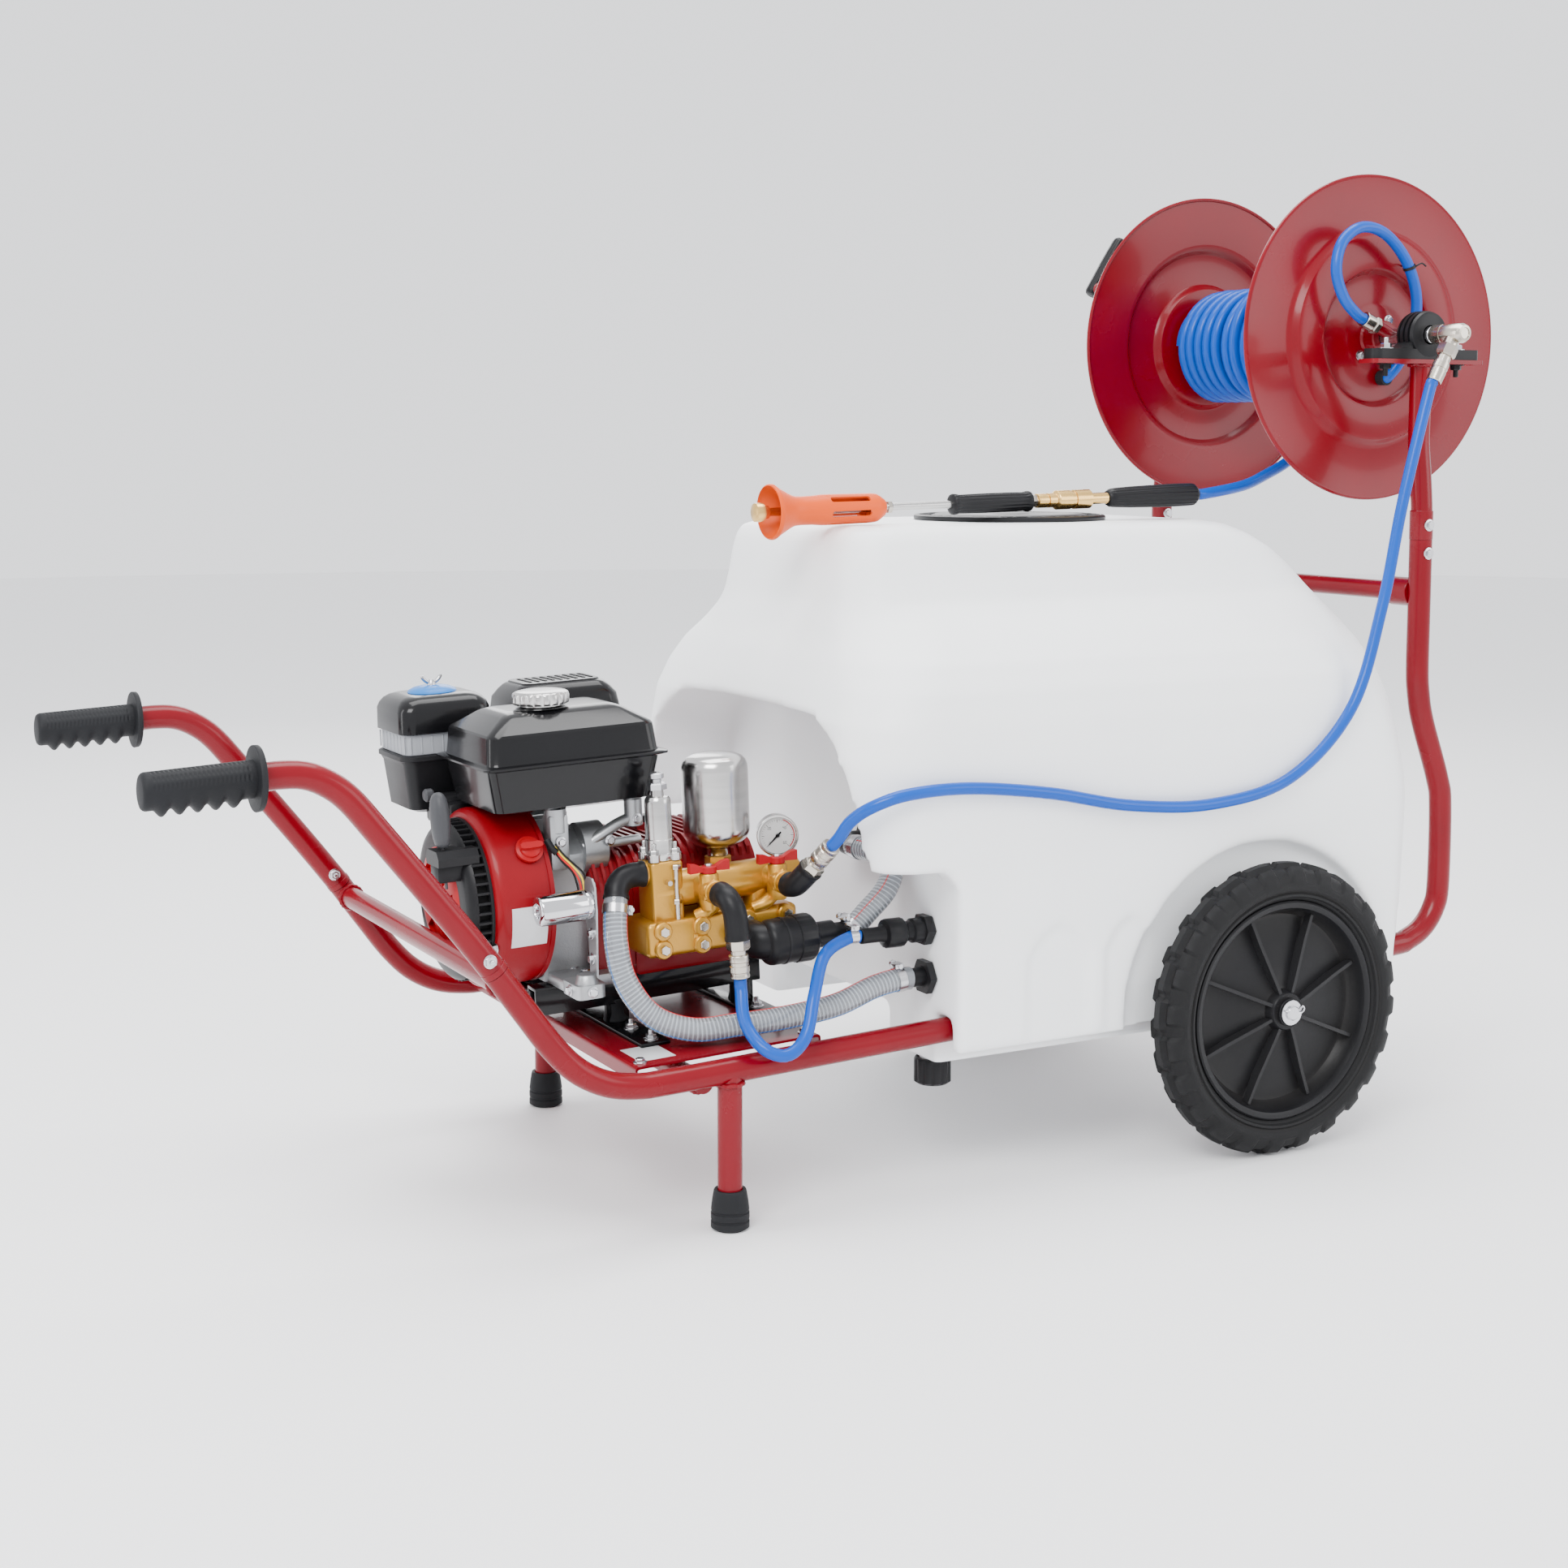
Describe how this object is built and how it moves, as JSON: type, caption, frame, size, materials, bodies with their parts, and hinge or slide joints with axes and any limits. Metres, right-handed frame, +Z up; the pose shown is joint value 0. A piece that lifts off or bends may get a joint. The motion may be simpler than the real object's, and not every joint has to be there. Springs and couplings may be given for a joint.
{
  "type": "wheeled sprayer cart",
  "caption": "Two-wheeled push cart with a moulded liquid tank, engine-driven pump, hose reel with crank and a spray lance laid on the deck.",
  "frame": {"origin": "ground level, midway between the grips' ends and the reel discs' rear edge, on the cart's centre plane", "axes": "+Z up, -X towards the handles, +X towards the reel and wheels, the side with the pressure hose faces -Y"},
  "size_m": [2.0355, 0.824, 1.347],
  "materials": {
    "red_paint": "gloss crimson powder coat",
    "black_rubber": "matte moulded rubber",
    "tyre_black": "matte",
    "black_plastic": "satin",
    "black_paint": "gloss black",
    "tank_white": "rotomoulded satin",
    "cast_alu": "cast satin",
    "chrome": "polished",
    "steel": "satin nickel",
    "brass": "gold paint on castings",
    "red_plastic": "gloss",
    "orange_plastic": "satin",
    "blue_hose": "smooth braided hose",
    "clear_hose": "clear spiral hose",
    "grey_plastic": "satin"
  },
  "bodies": {
    "cart": {"chassis_frame": "red_paint", "handle_tube_near": "red_paint", "handle_tube_far": "red_paint", "handle_grip_near": "black_rubber", "handle_grip_far": "black_rubber", "leg_foot_near": "black_rubber", "leg_foot_far": "black_rubber", "engine_platform": "red_paint", "mounting_rails": "black_paint", "tank_shell": "tank_white", "return_port": "black_plastic", "suction_port": "black_plastic", "reel_post_near": "red_paint", "reel_post_far": "red_paint", "reel_bearing_near": "black_paint", "reel_bearing_far": "black_paint", "reel_swivel": "steel", "engine_block": "cast_alu", "fan_cowl": "red_paint", "recoil_housing": "black_plastic", "fuel_tank": "black_paint", "air_cleaner": "black_plastic", "muffler": "black_paint", "pulse_canister": "chrome", "pump_crankcase": "red_paint", "pump_manifold": "brass", "pressure_regulator": "chrome", "air_chamber": "chrome", "gauge_case": "chrome", "elbow_bypass": "black_plastic", "elbow_outlet_mid": "black_plastic", "elbow_outlet_right": "black_plastic", "inlet_strainer": "black_plastic", "lance_tube": "brass", "lance_guard": "orange_plastic", "lance_grip_front": "black_plastic", "hose_pressure": "blue_hose", "hose_bypass": "clear_hose", "hose_suction": "clear_hose", "hose_return": "blue_hose", "hose_tail": "blue_hose"},
    "wheel_near": {"wheel_tyre_near": "tyre_black", "wheel_rim_near": "black_plastic"},
    "wheel_far": {"wheel_tyre_far": "tyre_black", "wheel_rim_far": "black_plastic"},
    "reel": {"reel_spool": "red_paint", "hose_coil": "blue_hose", "hose_reel_link": "blue_hose"},
    "crank_grip": {"crank_grip": "black_plastic"},
    "tank_lid": {"tank_lid": "black_plastic"},
    "drain_cap": {"drain_cap": "black_plastic"},
    "fuel_cap": {"fuel_cap": "chrome"},
    "recoil_handle": {"recoil_handle": "grey_plastic"},
    "throttle_lever": {"throttle_lever": "grey_plastic"},
    "engine_switch": {"engine_switch": "red_plastic"},
    "regulator_knob": {"regulator_knob": "steel"},
    "gauge_needle": {"gauge_needle": "black_paint"},
    "valve_left": {"valve_handle_left": "red_plastic"},
    "valve_right": {"valve_handle_right": "red_plastic"},
    "lance_grip_rear": {"lance_grip_rear": "black_plastic"}
  },
  "joints": [
    {"name": "wheel_spin_near", "type": "hinge", "parent": "cart", "child": "wheel_near", "pos_m": [0.476, -0.373, 0.2], "axis": [0, 1, 0], "continuous": true},
    {"name": "wheel_spin_far", "type": "hinge", "parent": "cart", "child": "wheel_far", "pos_m": [0.476, 0.373, 0.2], "axis": [0, 1, 0], "continuous": true},
    {"name": "reel_spin", "type": "hinge", "parent": "cart", "child": "reel", "pos_m": [0.785, 0, 1.113], "axis": [0, 1, 0], "continuous": true},
    {"name": "crank_grip_spin", "type": "hinge", "parent": "reel", "child": "crank_grip", "pos_m": [0.667, 0.334, 1.208], "axis": [0, 1, 0], "continuous": true},
    {"name": "tank_lid_turn", "type": "hinge", "parent": "cart", "child": "tank_lid", "pos_m": [0.285, 0, 0.853], "axis": [0, 0, 1], "range_deg": [0, 90]},
    {"name": "drain_cap_turn", "type": "hinge", "parent": "cart", "child": "drain_cap", "pos_m": [0.013, -0.24, 0.16], "axis": [0, 0, 1], "continuous": true},
    {"name": "fuel_cap_turn", "type": "hinge", "parent": "cart", "child": "fuel_cap", "pos_m": [-0.4654, -0.07, 0.63966], "axis": [-0.0417, 0, 0.9991], "range_deg": [0, 100]},
    {"name": "recoil_pull", "type": "slide", "parent": "cart", "child": "recoil_handle", "axis": [-0.0414, 0.12, 0.9919], "range_m": [0, 0.05], "stiffness_N_per_m": 30, "springref_m": -0.03},
    {"name": "throttle_swing", "type": "hinge", "parent": "cart", "child": "throttle_lever", "pos_m": [-0.55736, 0.047, 0.46868], "axis": [0.9991, 0, 0.0417], "range_deg": [0, 30]},
    {"name": "engine_switch_turn", "type": "hinge", "parent": "cart", "child": "engine_switch", "pos_m": [-0.50488, -0.12208, 0.45825], "axis": [-0.0251, -0.7986, 0.6013], "range_deg": [-60, 0]},
    {"name": "regulator_knob_turn", "type": "hinge", "parent": "cart", "child": "regulator_knob", "pos_m": [-0.34872, -0.165, 0.52973], "axis": [-0.0417, 0, 0.9991], "range_deg": [-360, 360]},
    {"name": "gauge_needle_swing", "type": "hinge", "parent": "cart", "child": "gauge_needle", "pos_m": [-0.18134, -0.17222, 0.45884], "axis": [-0.3597, -0.933, -0.015], "range_deg": [-270, 0]},
    {"name": "valve_left_turn", "type": "hinge", "parent": "cart", "child": "valve_left", "pos_m": [-0.29533, -0.203, 0.42556], "axis": [-0.0417, 0, 0.9991], "range_deg": [0, 90]},
    {"name": "valve_right_turn", "type": "hinge", "parent": "cart", "child": "valve_right", "pos_m": [-0.19842, -0.203, 0.42961], "axis": [-0.0417, 0, 0.9991], "range_deg": [0, 90]},
    {"name": "lance_grip_twist", "type": "hinge", "parent": "cart", "child": "lance_grip_rear", "pos_m": [0.38236, -0.1, 0.88449], "axis": [0.9998, 0, 0.0223], "range_deg": [0, 90]}
  ]
}
